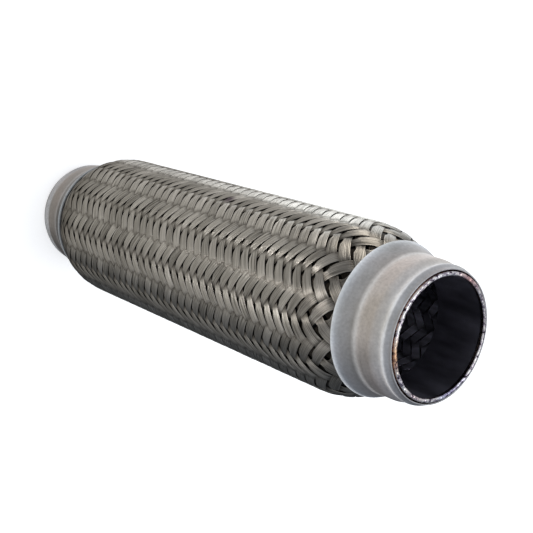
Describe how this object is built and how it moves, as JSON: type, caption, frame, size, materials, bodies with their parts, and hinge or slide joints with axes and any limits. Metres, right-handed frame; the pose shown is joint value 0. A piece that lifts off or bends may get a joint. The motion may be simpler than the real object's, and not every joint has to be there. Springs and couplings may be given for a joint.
{
  "type": "exhaust flex pipe",
  "caption": "Flexible exhaust pipe: woven wire braid over a corrugated bellows and a woven liner, clamped in flared end caps with smooth sleeves and welded rims.",
  "frame": {"origin": "centre of the rear rim's face, on the pipe's axis", "axes": "+Z along the pipe's axis from the rear mouth up to the front mouth, X and Y across it"},
  "size_m": [0.0684, 0.0684, 0.252],
  "materials": {
    "braid_wire": "bright drawn stainless wire, warm grey, woven in flat strands",
    "cap_steel": "spun stainless sheet, satin, with faint lathe marks",
    "weld_bead": "bright rippled weld with blue and straw heat tint",
    "sleeve_steel": "smooth rolled stainless sheet, dark in the bore",
    "bellows_steel": "bright formed stainless sheet",
    "liner_wire": "woven stainless wire, dull and dark in the bore"
  },
  "bodies": {
    "root": {"outer_braid": "braid_wire", "front_end_cap": "cap_steel", "rear_end_cap": "cap_steel", "bellows": "bellows_steel", "inner_braid": "liner_wire", "front_inner_sleeve": "sleeve_steel", "rear_inner_sleeve": "sleeve_steel", "front_edge_weld": "weld_bead", "rear_edge_weld": "weld_bead"}
  },
  "joints": []
}
